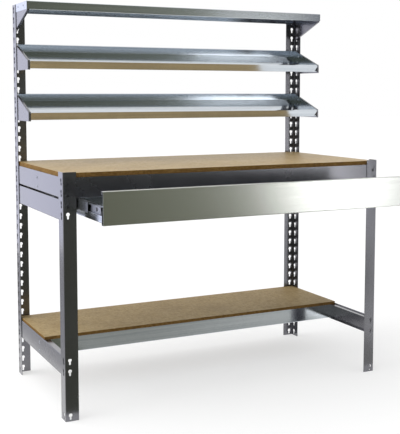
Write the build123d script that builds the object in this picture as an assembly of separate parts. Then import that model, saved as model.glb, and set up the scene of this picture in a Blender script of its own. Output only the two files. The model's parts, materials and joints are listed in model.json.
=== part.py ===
from build123d import *
import math
import os

# Bench with an upper rack, in millimetres. X runs to the right, Y to the back, Z up from the floor.
# While it is built, X is zero at mid width and Y is zero at the front face of the front uprights.

# Overall sizes
WIDTH = 1280.0
DEPTH = 610.0
FRONT_HEIGHT = 848.0
REAR_HEIGHT = 1445.0

# Uprights and their keyholes
UPRIGHT_FLANGE = 47.0
UPRIGHT_SHEET = 2.0
UPRIGHT_BEND = 1.0
KEYHOLE_PITCH = 38.1
KEYHOLE_FIRST = 21.0
KEYHOLE_EDGE = 17.5
KEYHOLE_HEAD = 13.0
KEYHOLE_SLOT = 6.4
KEYHOLE_DROP = 13.0
KEYHOLE_TOP_MARGIN = 12.0

# Rivets
RIVET_SHANK = 6.0
RIVET_HEAD = 11.0
RIVET_HEAD_HEIGHT = 1.8
RIVET_EDGE = 1.2
SMALL_SHANK = 4.0
SMALL_HEAD = 7.5
SMALL_HEAD_HEIGHT = 1.4
SMALL_EDGE = 0.9

# Clearances
FIT_GAP = 0.1
HOLE_GAP = 0.05
RUN_GAP = 0.3
END_GAP = 0.5
CUT = 5.0

# Beams
BEAM_HEIGHT = 70.0
BEAM_SHEET = 1.5
BEAM_BEND = 1.0
BEAM_RIVET_LOW = 10.0
BEAM_FLANGE = 12.0
LEDGE = 25.0
LEDGE_DROP = 4.0
HEM_GAP = 0.4
LOWER_SHELF_HEIGHT = 220.0

# Ties under the boards
TIE_FRONT = 272.0
TIE_DEPTH = 48.0
TIE_HEIGHT = 59.0
TIE_SHEET = 1.2
TIE_RIVET_BACK = 40.0
TIE_RIVET_LOW = 14.5
TIE_RIVET_STEP = 32.0

# Boards
WORKTOP_THICKNESS = 19.0
SHELF_THICKNESS = 12.0
BOARD_GAP = 1.0
SHELF_OVERHANG = 10.0
BOARD_EDGE = 0.8

# Pans and the brackets that hold them
PAN_SHEET = 0.8
PAN_DEPTH = 200.0
PAN_LIP = 30.0
PAN_HEM = 7.0
PAN_BEND = 1.0
TRAY_TILT = 20.5
TRAY_FOOT = 4.0
BRACKET_SHEET = 1.5
BRACKET_FLANGE = 9.0
BRACKET_NOSE = 10.0
BRACKET_BELOW_RIVET = 32.0
RACK_GAP = 2.0
BRACKET_BEND = 3.0
PAN_SCREW_HEIGHT = 13.0
PAN_SCREW_FRONT = 48.0
PAN_SCREW_REAR = 168.0

# Place of the bottom tray between its lowest and highest keyhole
BOTTOM_TRAY_SHARE = 2 / 3

# Drawer
DRAWER_END_ROOM = 3.0
DRAWER_FRONT_HEIGHT = 108.0
DRAWER_FRONT_DROP = 61.0
DRAWER_FRONT_DEPTH = 14.0
DRAWER_FRONT_SHEET = 1.0
DRAWER_FRONT_EDGE = 2.5
DRAWER_FRONT_LIP = 12.0
DRAWER_FRONT_LOW_LIP = 45.0
DRAWER_SHEET = 1.0
DRAWER_BOX_DEPTH = 478.0
DRAWER_BOX_RAISE = 2.0
DRAWER_BOX_TOP_GAP = 3.0
DRAWER_SIDE_HEM = 7.0
DRAWER_SIDE_FOOT = 15.0
DRAWER_ANGLE = 13.0
DRAWER_REST = 238.0
DRAWER_SCREW_INSET = 60.0

# Slides and the rails that carry them
RAIL_SHEET = 1.5
RAIL_HEIGHT = 36.0
RAIL_TAB_INSET = 6.0
SLIDE_LENGTH = 450.0
SLIDE_START = 18.0
SLIDE_WIDTH = 12.7
SLIDE_HALF = 22.5
SLIDE_SHEET = 1.2
SLIDE_FLANGE = 11.0
SLIDE_BEAM_GAP = 0.9
BALL = 3.0
BALL_ROOM = 3.2
BALL_PITCH = 12.0
BALL_COUNT = 10
CAGE_SHEET = 0.5
CAGE_MARGIN = 6.0
CAGE_WIDTH = 8.0
SLIDE_RIVET_COUNT = 3
SLIDE_RIVET_INSET = 45.0

# Share of the drawer's travel that each moving part of a slide makes
SLIDE_MIDDLE_SHARE = 1 / 2
OUTER_CAGE_SHARE = 1 / 4
INNER_CAGE_SHARE = 3 / 4

# Levels worked out from the sizes above
HALF = WIDTH / 2
SEAT_DROP = KEYHOLE_DROP + (KEYHOLE_SLOT - RIVET_SHANK) / 2 - FIT_GAP


def hole_z(index):
    return KEYHOLE_FIRST + index * KEYHOLE_PITCH


def seat_z(index):
    return hole_z(index) - SEAT_DROP


def last_hole(height):
    return int((height - KEYHOLE_FIRST - KEYHOLE_TOP_MARGIN) // KEYHOLE_PITCH)


def hole_seated_below(z):
    """Highest keyhole that seats a rivet at or below a height."""
    return int((z + SEAT_DROP - KEYHOLE_FIRST) // KEYHOLE_PITCH)


def beam_bottom(index):
    return seat_z(index) - BEAM_RIVET_LOW


LEDGE_HEIGHT = BEAM_HEIGHT - LEDGE_DROP
LOWER_BEAM_HOLE = hole_seated_below(LOWER_SHELF_HEIGHT - LEDGE_HEIGHT + BEAM_RIVET_LOW)
TOP_BEAM_HOLE = last_hole(FRONT_HEIGHT) - 1
DRAWER_BEAM_HOLE = TOP_BEAM_HOLE - math.ceil(BEAM_HEIGHT / KEYHOLE_PITCH)
LAST_REAR_HOLE = last_hole(REAR_HEIGHT - PAN_SHEET)
TOP_BEAM_Z = beam_bottom(TOP_BEAM_HOLE)
LOWER_BEAM_Z = beam_bottom(LOWER_BEAM_HOLE)
HEM_DEPTH = 2 * BEAM_SHEET + HEM_GAP
WORKTOP_Z = TOP_BEAM_Z + LEDGE_HEIGHT
SHELF_Z = LOWER_BEAM_Z + LEDGE_HEIGHT
SLIDE_MIDDLE_HALF = SLIDE_HALF - SLIDE_SHEET - BALL_ROOM
SLIDE_INNER_HALF = SLIDE_MIDDLE_HALF - SLIDE_SHEET - BALL_ROOM
SLIDE_Z = TOP_BEAM_Z - SLIDE_BEAM_GAP - SLIDE_MIDDLE_HALF
DRAWER_WIDTH = WIDTH - 2 * (UPRIGHT_FLANGE + DRAWER_END_ROOM)
SLIDE_X = DRAWER_WIDTH / 2 + 2 * END_GAP
DRAWER_FRONT_BACK = UPRIGHT_SHEET - END_GAP
DRAWER_FRONT_Z = TOP_BEAM_Z - DRAWER_FRONT_DROP
DRAWER_BOX_Z = DRAWER_FRONT_Z + DRAWER_BOX_RAISE
DRAWER_BOX_TOP = TOP_BEAM_Z - DRAWER_BOX_TOP_GAP
DRAWER_SIDE_X = SLIDE_X - SLIDE_WIDTH - FIT_GAP
DRAWER_BOX_FRONT = DRAWER_FRONT_BACK + FIT_GAP
DRAWER_END_BASE = DRAWER_BOX_Z + 2 * (DRAWER_SHEET + FIT_GAP)
DRAWER_END_TOP = DRAWER_BOX_TOP - DRAWER_SHEET - PAN_BEND - FIT_GAP
DRAWER_ANGLE_START = DRAWER_SHEET + FIT_GAP
BODY_FRONT = DRAWER_FRONT_BACK - DRAWER_FRONT_DEPTH - DRAWER_REST
ORIGIN_Y = (BODY_FRONT + DEPTH + RIVET_HEAD_HEIGHT) / 2


# Shared shapes
def block(x0, x1, y0, y1, z0, z1):
    """Box between two corners."""
    size = Box(x1 - x0, y1 - y0, z1 - z0)
    return Pos((x0 + x1) / 2, (y0 + y1) / 2, (z0 + z1) / 2) * size


def folded(points, thickness, bends):
    """Face of a folded sheet whose one side follows the points, with the sheet to the left of them."""
    marks = [Vector(*point) for point in points]
    runs = [(b - a).normalized() for a, b in zip(marks, marks[1:])]
    lefts = [Vector(-run.Y, run.X) for run in runs]
    other = [marks[0] + lefts[0] * thickness]
    near_radii = [0]
    far_radii = [0]
    for index, bend in enumerate(bends):
        before, after = lefts[index], lefts[index + 1]
        other.append(marks[index + 1] + (before + after) * (thickness / (1 + before.dot(after))))
        turns_left = runs[index].cross(runs[index + 1]).Z > 0
        outer = bend + thickness if bend else 0
        near_radii.append(outer if turns_left else bend)
        far_radii.append(bend if turns_left else outer)
    other.append(marks[-1] + lefts[-1] * thickness)
    near_radii.append(0)
    far_radii.append(0)
    outline = marks + other[::-1]
    radii = near_radii + far_radii[::-1]
    return make_face(FilletPolyline(*outline, radius=radii, close=True).edges())


def along_x(face, x0, x1):
    """Extrude a face drawn in depth and height from x0 to x1."""
    return extrude(Plane((x0, 0, 0), x_dir=(0, 1, 0), z_dir=(1, 0, 0)) * face, amount=x1 - x0)


def along_y(face, y0, y1):
    """Extrude a face drawn in width and height from y0 to y1."""
    return extrude(Plane((0, y1, 0), x_dir=(1, 0, 0), z_dir=(0, -1, 0)) * face, amount=y1 - y0)


def along_z(face, z0, z1):
    """Extrude a face drawn in plan from z0 to z1."""
    return extrude(Pos(0, 0, z0) * face, amount=z1 - z0)


def to_right(shape):
    return mirror(shape, about=Plane.YZ)


def to_rear(shape):
    return mirror(shape, about=Plane((0, DEPTH / 2, 0), x_dir=(1, 0, 0), z_dir=(0, 1, 0)))


def headed_pin(shank, head, head_height, edge, length):
    """Rivet along Z with its head above zero and its shank below."""
    top = Pos(0, 0, head_height / 2) * Cylinder(head / 2, head_height)
    top = fillet(top.edges().sort_by(Axis.Z)[-1], edge)
    return top + Pos(0, 0, -length / 2) * Cylinder(shank / 2, length)


def rivet(place, outward, length):
    pin = headed_pin(RIVET_SHANK, RIVET_HEAD, RIVET_HEAD_HEIGHT, RIVET_EDGE, length)
    return Plane(place, z_dir=outward) * pin


def small_rivet(place, outward, length):
    pin = headed_pin(SMALL_SHANK, SMALL_HEAD, SMALL_HEAD_HEIGHT, SMALL_EDGE, length)
    return Plane(place, z_dir=outward) * pin


def drill(shape, places, outward, diameter):
    """Cut one round hole through thin sheet at each place."""
    tool = Cylinder(diameter / 2 + HOLE_GAP, 2 * CUT)
    for place in places:
        shape = shape - Plane(place, z_dir=outward) * tool
    return shape


# Uprights
def keyhole():
    """Round entry with a narrow slot below it."""
    slot = Pos(0, -KEYHOLE_DROP / 2) * Rectangle(KEYHOLE_SLOT, KEYHOLE_DROP)
    return Circle(KEYHOLE_HEAD / 2) + slot + Pos(0, -KEYHOLE_DROP) * Circle(KEYHOLE_SLOT / 2)


def upright(height, holes):
    """Front left upright with its keyholes in both flanges."""
    outline = [(-HALF, UPRIGHT_FLANGE), (-HALF, 0), (UPRIGHT_FLANGE - HALF, 0)]
    shape = along_z(folded(outline, UPRIGHT_SHEET, [UPRIGHT_BEND]), 0, height)
    front_tool = along_y(Pos(KEYHOLE_EDGE - HALF, 0) * keyhole(), -CUT, UPRIGHT_SHEET + CUT)
    side_tool = along_x(Pos(KEYHOLE_EDGE, 0) * keyhole(), -HALF - CUT, UPRIGHT_SHEET + CUT - HALF)
    tools = [Pos(0, 0, hole_z(index)) * tool for index in holes for tool in (front_tool, side_tool)]
    return shape - tools


def front_holes():
    ends = (LOWER_BEAM_HOLE, DRAWER_BEAM_HOLE, TOP_BEAM_HOLE)
    return [0] + [index + step for index in ends for step in range(2)]


# Beams
def beam_face(start, base):
    """Beam section with its back at start, a ledge for a board and a hemmed top edge."""
    ledge_z = base + LEDGE_HEIGHT
    points = [
        (start + LEDGE, ledge_z),
        (start + HEM_DEPTH, ledge_z),
        (start + HEM_DEPTH, base + BEAM_HEIGHT),
        (start, base + BEAM_HEIGHT),
        (start, base),
        (start + BEAM_FLANGE, base),
    ]
    return folded(points, BEAM_SHEET, [0, 0, 0, BEAM_BEND])


def pair_z(index):
    return [seat_z(index), seat_z(index + 1)]


def side_places(index):
    """Rivet places on the left face of the left side beam at a keyhole."""
    columns = (KEYHOLE_EDGE, DEPTH - KEYHOLE_EDGE)
    return [(-HALF, y, z) for y in columns for z in pair_z(index)]


def front_places(index):
    """Rivet places on the front face of a beam between the front uprights."""
    columns = (KEYHOLE_EDGE - HALF, HALF - KEYHOLE_EDGE)
    return [(x, 0, z) for x in columns for z in pair_z(index)]


def side_beam(index):
    start = UPRIGHT_SHEET - HALF + FIT_GAP
    inset = UPRIGHT_SHEET + BEAM_SHEET + END_GAP
    shape = along_y(beam_face(start, beam_bottom(index)), inset, DEPTH - inset)
    return drill(shape, side_places(index), (-1, 0, 0), RIVET_SHANK)


def cross_beam(index):
    """Beam between the two front uprights, with its folds cut clear of the side beams."""
    start = UPRIGHT_SHEET + FIT_GAP
    end = HALF - UPRIGHT_SHEET - UPRIGHT_BEND - END_GAP
    base = beam_bottom(index)
    shape = along_x(beam_face(start, base), -end, end)
    fold_end = HALF - UPRIGHT_SHEET - LEDGE - END_GAP
    back = start + BEAM_SHEET
    for x0, x1 in ((-HALF, -fold_end), (fold_end, HALF)):
        shape = shape - block(x0, x1, back, back + LEDGE + CUT, base - CUT, base + BEAM_HEIGHT + CUT)
    return drill(shape, front_places(index), (0, -1, 0), RIVET_SHANK)


def tie_places(base):
    y = TIE_FRONT + TIE_RIVET_BACK
    low = base + TIE_RIVET_LOW
    return [(UPRIGHT_SHEET - HALF + FIT_GAP, y, z) for z in (low, low + TIE_RIVET_STEP)]


def tie(base):
    """Channel across the bench, with its top level with the beams' ledges and riveted end tabs."""
    top = base + LEDGE_HEIGHT
    low = top - TIE_HEIGHT
    back = TIE_FRONT + TIE_DEPTH
    points = [(back, top), (TIE_FRONT, top), (TIE_FRONT, low), (back, low)]
    end = HALF - UPRIGHT_SHEET - BEAM_SHEET - 2 * FIT_GAP
    shape = along_x(folded(points, TIE_SHEET, [BEAM_BEND, BEAM_BEND]), -end, end)
    tab = block(-end, TIE_SHEET - end, TIE_FRONT, back, low + TIE_SHEET + END_GAP, top)
    shape = shape + tab + to_right(tab)
    notch = HALF - UPRIGHT_SHEET - LEDGE - END_GAP
    under_ledge = top - BEAM_SHEET - RUN_GAP
    for x0, x1 in ((-HALF, -notch), (notch, HALF)):
        shape = shape - block(x0, x1, TIE_FRONT - CUT, back + CUT, under_ledge, top + CUT)
    places = tie_places(base)
    shape = drill(shape, places, (-1, 0, 0), RIVET_SHANK)
    return drill(shape, [(-x, y, z) for x, y, z in places], (1, 0, 0), RIVET_SHANK)


def tied_side_beam(index):
    """Side beam that also takes the end of a tie."""
    return drill(side_beam(index), tie_places(beam_bottom(index)), (-1, 0, 0), RIVET_SHANK)


def rail_z():
    return SLIDE_Z - RAIL_HEIGHT / 2


def rail_rivet_place():
    return (KEYHOLE_EDGE - HALF, 0, seat_z(DRAWER_BEAM_HOLE + 1))


def front_upright_rivets():
    """Rivets of the front left upright: three side beams, the front beam and the slide rail."""
    length = UPRIGHT_SHEET + FIT_GAP + BEAM_SHEET
    pins = []
    for index in (LOWER_BEAM_HOLE, DRAWER_BEAM_HOLE, TOP_BEAM_HOLE):
        pins += [rivet((-HALF, KEYHOLE_EDGE, z), (-1, 0, 0), length) for z in pair_z(index)]
    pins += [rivet((KEYHOLE_EDGE - HALF, 0, z), (0, -1, 0), length) for z in pair_z(TOP_BEAM_HOLE)]
    pins.append(rivet(rail_rivet_place(), (0, -1, 0), UPRIGHT_SHEET + FIT_GAP + RAIL_SHEET))
    return pins


def rear_upright_rivets():
    """Rivets of the rear left upright, as the front ones and two more for the lower rear beam."""
    pins = front_upright_rivets()
    length = UPRIGHT_SHEET + FIT_GAP + BEAM_SHEET
    pins += [rivet((KEYHOLE_EDGE - HALF, 0, z), (0, -1, 0), length) for z in pair_z(LOWER_BEAM_HOLE)]
    return [to_rear(pin) for pin in pins]


def tie_rivets():
    length = BEAM_SHEET + FIT_GAP + TIE_SHEET
    spots = tie_places(TOP_BEAM_Z) + tie_places(LOWER_BEAM_Z)
    return [rivet(place, (-1, 0, 0), length) for place in spots]


# Boards
def board(base, thickness, front):
    side = HALF - UPRIGHT_SHEET - HEM_DEPTH - BOARD_GAP
    back = DEPTH - UPRIGHT_SHEET - HEM_DEPTH - BOARD_GAP
    shape = block(-side, side, front, back, base, base + thickness)
    return chamfer(shape.edges().group_by(Axis.Z)[-1], BOARD_EDGE)


# Pans and brackets
TILT = math.radians(TRAY_TILT)
PAN_REAR = DEPTH - UPRIGHT_SHEET - END_GAP
TRAY_NOSE = PAN_REAR - PAN_DEPTH * math.cos(TILT)
BRACKET_FRONT = TRAY_NOSE - BRACKET_NOSE
TRAY_HALF = HALF - UPRIGHT_SHEET - BRACKET_SHEET - 2 * FIT_GAP


def slope_z(y):
    """Height of the bracket's sloped edge above its level edge."""
    over_lip = (PAN_LIP + RUN_GAP + BRACKET_SHEET) / math.cos(TILT)
    return TRAY_FOOT + (y - TRAY_NOSE) * math.tan(TILT) + over_lip


def pan(half_length):
    """Open pan lying flat, its front left bottom corner at the origin's height and depth."""
    points = [
        (PAN_HEM, PAN_LIP),
        (0, PAN_LIP),
        (0, 0),
        (PAN_DEPTH, 0),
        (PAN_DEPTH, PAN_LIP),
        (PAN_DEPTH - PAN_HEM, PAN_LIP),
    ]
    return along_x(folded(points, PAN_SHEET, [0, PAN_BEND, PAN_BEND, 0]), -half_length, half_length)


def tray_place(bottom):
    return Pos(0, TRAY_NOSE, bottom + TRAY_FOOT) * Rot(X=TRAY_TILT)


def pan_screw_spots():
    return [(y, PAN_SCREW_HEIGHT) for y in (PAN_SCREW_FRONT, PAN_SCREW_REAR)]


def tray_screw_places(bottom):
    """Screw places on the inner face of a tray's left end."""
    inner = PAN_SHEET - TRAY_HALF
    frame = tray_place(bottom)
    return [(frame * Pos(inner, y, z)).position for y, z in pan_screw_spots()]


def tray(bottom):
    """Tilted pan whose ends stand inside the bracket plates."""
    shape = pan(TRAY_HALF)
    rear = PAN_DEPTH - PAN_SHEET
    lip = block(-TRAY_HALF, PAN_SHEET - TRAY_HALF, 0, rear, 0, PAN_LIP)
    shape = tray_place(bottom) * (shape + lip + to_right(lip))
    nose = BRACKET_FRONT + BRACKET_SHEET + RUN_GAP
    inner = HALF - UPRIGHT_SHEET - BRACKET_FLANGE - END_GAP
    top = bottom + PAN_LIP + PAN_DEPTH
    for x0, x1 in ((-HALF, -inner), (inner, HALF)):
        shape = shape - block(x0, x1, nose - PAN_DEPTH, nose, bottom - CUT, top)
    for sign in (-1, 1):
        spots = [(-sign * spot.X, spot.Y, spot.Z) for spot in tray_screw_places(bottom)]
        shape = drill(shape, spots, (sign, 0, 0), SMALL_SHANK)
    return shape


def bracket():
    """Left gusset plate at zero height, with its flanges on the front and sloped edges."""
    x0 = UPRIGHT_SHEET - HALF + FIT_GAP
    x1 = x0 + BRACKET_FLANGE
    y0, y1 = BRACKET_FRONT, PAN_REAR - UPRIGHT_BEND
    outline = Polyline((y0, 0), (y1, 0), (y1, slope_z(y1)), (y0, slope_z(y0)), close=True)
    shape = along_x(make_face(outline.edges()), x0, x1)
    folds = shape.edges().filter_by(lambda edge: edge.center().X < x0 + HOLE_GAP)
    folds = folds.filter_by(lambda edge: edge.center().Y < y1 - CUT and edge.center().Z > CUT)
    shape = fillet(folds, BRACKET_BEND)
    drop = BRACKET_SHEET / math.cos(TILT)
    n0, n1 = y0 + BRACKET_SHEET, y1 + CUT
    hollow = Polyline((n0, -CUT), (n1, -CUT), (n1, slope_z(n1) - drop), (n0, slope_z(n0) - drop), close=True)
    return shape - along_x(make_face(hollow.edges()), x0 + BRACKET_SHEET, x1 + CUT)


def bracket_rivet_places(index):
    return [(-HALF, DEPTH - KEYHOLE_EDGE, z) for z in pair_z(index)]


def tray_bracket(index):
    """Left bracket under a tray, with its rivet and screw holes."""
    bottom = seat_z(index) - BRACKET_BELOW_RIVET
    shape = Pos(0, 0, bottom) * bracket()
    shape = drill(shape, bracket_rivet_places(index), (-1, 0, 0), RIVET_SHANK)
    return drill(shape, tray_screw_places(bottom), (1, 0, 0), SMALL_SHANK)


TOP_PAN_UNDER = REAR_HEIGHT - PAN_SHEET
TOP_PAN_REAR = PAN_REAR
TOP_PAN_FRONT = TOP_PAN_REAR - PAN_DEPTH
TOP_PAN_HALF = HALF - UPRIGHT_SHEET + PAN_SHEET
BRACKET_HEIGHT = slope_z(PAN_REAR - UPRIGHT_BEND)
TOP_BRACKET_HOLE = LAST_REAR_HOLE - 1
UNDER_TOP_BRACKET = TOP_PAN_UNDER - BRACKET_HEIGHT - RACK_GAP
MIDDLE_TRAY_HOLE = hole_seated_below(UNDER_TOP_BRACKET - BRACKET_HEIGHT + BRACKET_BELOW_RIVET)
HIGHEST_BOTTOM_TRAY = hole_seated_below(seat_z(MIDDLE_TRAY_HOLE) - BRACKET_HEIGHT - RACK_GAP)
WORKTOP_TOP = WORKTOP_Z + WORKTOP_THICKNESS
LOWEST_BOTTOM_TRAY = hole_seated_below(WORKTOP_TOP + BRACKET_BELOW_RIVET + RACK_GAP) + 1
BOTTOM_TRAY_RANGE = HIGHEST_BOTTOM_TRAY - LOWEST_BOTTOM_TRAY
BOTTOM_TRAY_HOLE = LOWEST_BOTTOM_TRAY + round(BOTTOM_TRAY_RANGE * BOTTOM_TRAY_SHARE)


def top_screw_places():
    """Screw places on the outer face of the top pan's left end."""
    z = REAR_HEIGHT - PAN_SCREW_HEIGHT
    depths = (TOP_PAN_FRONT + PAN_SCREW_FRONT, TOP_PAN_FRONT + PAN_SCREW_REAR - UPRIGHT_FLANGE)
    return [(-TOP_PAN_HALF, y, z) for y in depths]


def top_bracket():
    """Bracket turned over under the top pan, on the left."""
    shape = to_right(Pos(0, 0, TOP_PAN_UNDER) * Rot(Y=180) * bracket())
    shape = drill(shape, bracket_rivet_places(TOP_BRACKET_HOLE), (-1, 0, 0), RIVET_SHANK)
    return drill(shape, top_screw_places(), (-1, 0, 0), SMALL_SHANK)


def top_pan():
    """Pan turned over as a flat shelf, its ends outside the brackets."""
    shape = Pos(0, TOP_PAN_REAR, REAR_HEIGHT) * Rot(X=180) * pan(TOP_PAN_HALF)
    inner = HALF - UPRIGHT_SHEET - BRACKET_FLANGE - END_GAP
    front = TOP_PAN_FRONT + PAN_SHEET + END_GAP
    low = REAR_HEIGHT - PAN_LIP
    lip_rear = DEPTH - UPRIGHT_FLANGE - END_GAP
    lip = block(-TOP_PAN_HALF, PAN_SHEET - TOP_PAN_HALF, TOP_PAN_FRONT, lip_rear, low, REAR_HEIGHT)
    for x0, x1 in ((-HALF, -inner), (inner, HALF)):
        shape = shape - block(x0, x1, front, DEPTH, low - CUT, TOP_PAN_UNDER)
    shape = shape + lip + to_right(lip)
    places = top_screw_places()
    shape = drill(shape, places, (-1, 0, 0), SMALL_SHANK)
    return drill(shape, [(-x, y, z) for x, y, z in places], (1, 0, 0), SMALL_SHANK)


def bracket_rivets():
    length = UPRIGHT_SHEET + FIT_GAP + BRACKET_SHEET
    spots = []
    for index in (TOP_BRACKET_HOLE, MIDDLE_TRAY_HOLE, BOTTOM_TRAY_HOLE):
        spots += bracket_rivet_places(index)
    return [rivet(place, (-1, 0, 0), length) for place in spots]


def pan_screws():
    """Screws of all three pans on the left side."""
    through = PAN_SHEET + FIT_GAP + BRACKET_SHEET
    pins = []
    for index in (MIDDLE_TRAY_HOLE, BOTTOM_TRAY_HOLE):
        bottom = seat_z(index) - BRACKET_BELOW_RIVET
        pins += [small_rivet(place, (1, 0, 0), through) for place in tray_screw_places(bottom)]
    pins += [small_rivet(place, (-1, 0, 0), through) for place in top_screw_places()]
    return pins


# Drawer, drawn closed and then pulled out to its resting place
def opened(shape, share=1):
    return Pos(0, -DRAWER_REST * share, 0) * shape


def screw_columns():
    """Evenly spaced columns of screws behind the drawer front."""
    reach = DRAWER_WIDTH / 2 - DRAWER_SCREW_INSET
    return [reach * step for step in (-1, 0, 1)]


def front_screw_places():
    y = DRAWER_BOX_FRONT + DRAWER_SHEET
    z = DRAWER_FRONT_Z + DRAWER_FRONT_LOW_LIP / 2
    return [(x, y, z) for x in screw_columns()]


def drawer_front():
    """Hollow folded front, open at its back between an upper and a lower lip."""
    x, z0 = DRAWER_WIDTH / 2, DRAWER_FRONT_Z
    y0, y1 = DRAWER_FRONT_BACK - DRAWER_FRONT_DEPTH, DRAWER_FRONT_BACK
    z1, wall = z0 + DRAWER_FRONT_HEIGHT, DRAWER_FRONT_SHEET
    shape = block(-x, x, y0, y1, z0, z1)
    shape = fillet(shape.edges().group_by(Axis.Y)[0], DRAWER_FRONT_EDGE)
    hollow = block(wall - x, x - wall, y0 + wall, y1 - wall, z0 + wall, z1 - wall)
    hollow = fillet(hollow.edges().group_by(Axis.Y)[0], DRAWER_FRONT_EDGE - wall)
    lip = DRAWER_FRONT_LIP
    window = block(lip - x, x - lip, y1 - wall - CUT, y1 + CUT, z0 + DRAWER_FRONT_LOW_LIP, z1 - lip)
    return drill(shape - hollow - window, front_screw_places(), (0, 1, 0), SMALL_SHANK)


def to_drawer_back(shape):
    """Mirror image of a shape about the middle of the drawer's depth."""
    middle = DRAWER_BOX_FRONT + DRAWER_BOX_DEPTH / 2
    return mirror(shape, about=Plane((0, middle, 0), x_dir=(1, 0, 0), z_dir=(0, 1, 0)))


def corner_rows():
    return (DRAWER_BOX_Z + DRAWER_SIDE_FOOT, DRAWER_BOX_TOP - DRAWER_SIDE_FOOT)


def side_corner_places(x):
    """Rivet places at the drawer's left corners, on its side."""
    inset = DRAWER_ANGLE_START + DRAWER_ANGLE / 2 + DRAWER_SHEET
    columns = (DRAWER_BOX_FRONT + inset, DRAWER_BOX_FRONT + DRAWER_BOX_DEPTH - inset)
    return [(x, y, z) for y in columns for z in corner_rows()]


def end_corner_places(y):
    """Rivet places at the drawer's corners, on its front or back wall."""
    reach = DRAWER_SIDE_X - DRAWER_ANGLE_START - DRAWER_ANGLE / 2 - DRAWER_SHEET
    return [(x, y, z) for x in (-reach, reach) for z in corner_rows()]


def slide_rivet_columns():
    first = SLIDE_START + SLIDE_RIVET_INSET
    step = (SLIDE_LENGTH - 2 * SLIDE_RIVET_INSET) / (SLIDE_RIVET_COUNT - 1)
    return [first + step * index for index in range(SLIDE_RIVET_COUNT)]


def drawer_side():
    """Left side with a hem on top and a foot that carries the bottom."""
    x = DRAWER_SIDE_X
    points = [
        (DRAWER_SIDE_HEM - x, DRAWER_BOX_TOP),
        (-x, DRAWER_BOX_TOP),
        (-x, DRAWER_BOX_Z),
        (DRAWER_SIDE_FOOT - x, DRAWER_BOX_Z),
    ]
    face = folded(points, DRAWER_SHEET, [PAN_BEND, PAN_BEND])
    shape = along_y(face, DRAWER_BOX_FRONT, DRAWER_BOX_FRONT + DRAWER_BOX_DEPTH)
    spots = side_corner_places(-x) + [(-x, y, SLIDE_Z) for y in slide_rivet_columns()]
    return drill(shape, spots, (-1, 0, 0), SMALL_SHANK)


def drawer_end():
    """Flat wall between the sides at the front of the drawer."""
    x = DRAWER_SIDE_X - DRAWER_ANGLE_START
    y = DRAWER_BOX_FRONT
    shape = block(-x, x, y, y + DRAWER_SHEET, DRAWER_END_BASE, DRAWER_END_TOP)
    return drill(shape, end_corner_places(y), (0, 1, 0), SMALL_SHANK)


def drawer_inner_front():
    return drill(drawer_end(), front_screw_places(), (0, 1, 0), SMALL_SHANK)


def drawer_back():
    return to_drawer_back(drawer_end())


def corner_angle():
    """Upright angle in the drawer's front left corner."""
    x, y = DRAWER_ANGLE_START - DRAWER_SIDE_X, DRAWER_BOX_FRONT + DRAWER_ANGLE_START
    points = [(x, y + DRAWER_ANGLE), (x, y), (x + DRAWER_ANGLE, y)]
    shape = along_z(folded(points, DRAWER_SHEET, [PAN_BEND]), DRAWER_END_BASE, DRAWER_END_TOP)
    shape = drill(shape, side_corner_places(x), (1, 0, 0), SMALL_SHANK)
    return drill(shape, end_corner_places(y), (0, 1, 0), SMALL_SHANK)


def drawer_corner_angles():
    front = [corner_angle(), to_right(corner_angle())]
    return front + [to_drawer_back(shape) for shape in front]


def drawer_bottom():
    x = DRAWER_SIDE_X - DRAWER_SHEET - PAN_BEND - FIT_GAP
    y = DRAWER_BOX_FRONT
    base = DRAWER_BOX_Z + DRAWER_SHEET + FIT_GAP
    return block(-x, x, y, y + DRAWER_BOX_DEPTH, base, base + DRAWER_SHEET)


def drawer_box_rivets():
    """Rivets that hold the corner angles to the sides, the front wall and the back wall."""
    length = DRAWER_ANGLE_START + DRAWER_SHEET
    left = [small_rivet(place, (1, 0, 0), length) for place in side_corner_places(length - DRAWER_SIDE_X)]
    front = [small_rivet(place, (0, 1, 0), length) for place in end_corner_places(DRAWER_BOX_FRONT + length)]
    return left + [to_right(pin) for pin in left] + front + [to_drawer_back(pin) for pin in front]


def drawer_front_screws():
    length = DRAWER_SHEET + FIT_GAP + DRAWER_FRONT_SHEET
    return [small_rivet(place, (0, 1, 0), length) for place in front_screw_places()]


# Rails and slides
def rail_rivet_columns():
    return [(-SLIDE_X - RAIL_SHEET - FIT_GAP, y, SLIDE_Z) for y in slide_rivet_columns()]


def slide_rail():
    """Left rail from the front to the rear upright, with a riveted tab at each end."""
    tab = RAIL_TAB_INSET - HALF
    y0, y1 = UPRIGHT_SHEET + FIT_GAP, DEPTH - UPRIGHT_SHEET - FIT_GAP
    face_x = -SLIDE_X - FIT_GAP
    points = [(tab, y0), (face_x, y0), (face_x, y1), (tab, y1)]
    shape = along_z(folded(points, RAIL_SHEET, [BEAM_BEND, BEAM_BEND]), rail_z(), rail_z() + RAIL_HEIGHT)
    x, y, z = rail_rivet_place()
    shape = drill(shape, [(x, y, z), (x, DEPTH, z)], (0, -1, 0), RIVET_SHANK)
    return drill(shape, rail_rivet_columns(), (-1, 0, 0), SMALL_SHANK)


def channel(start, end, half, towards_drawer):
    """Slide member across X from start to end, open on one side."""
    x0, x1 = start - SLIDE_X, end - SLIDE_X
    low, high = SLIDE_Z - half, SLIDE_Z + half
    if towards_drawer:
        points = [(x1, high), (x0, high), (x0, low), (x1, low)]
    else:
        points = [(x0, low), (x1, low), (x1, high), (x0, high)]
    return folded(points, SLIDE_SHEET, [HEM_GAP, HEM_GAP])


def slide_member(start, end, half, towards_drawer):
    face = channel(start, end, half, towards_drawer)
    return along_y(face, SLIDE_START, SLIDE_START + SLIDE_LENGTH)


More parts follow.
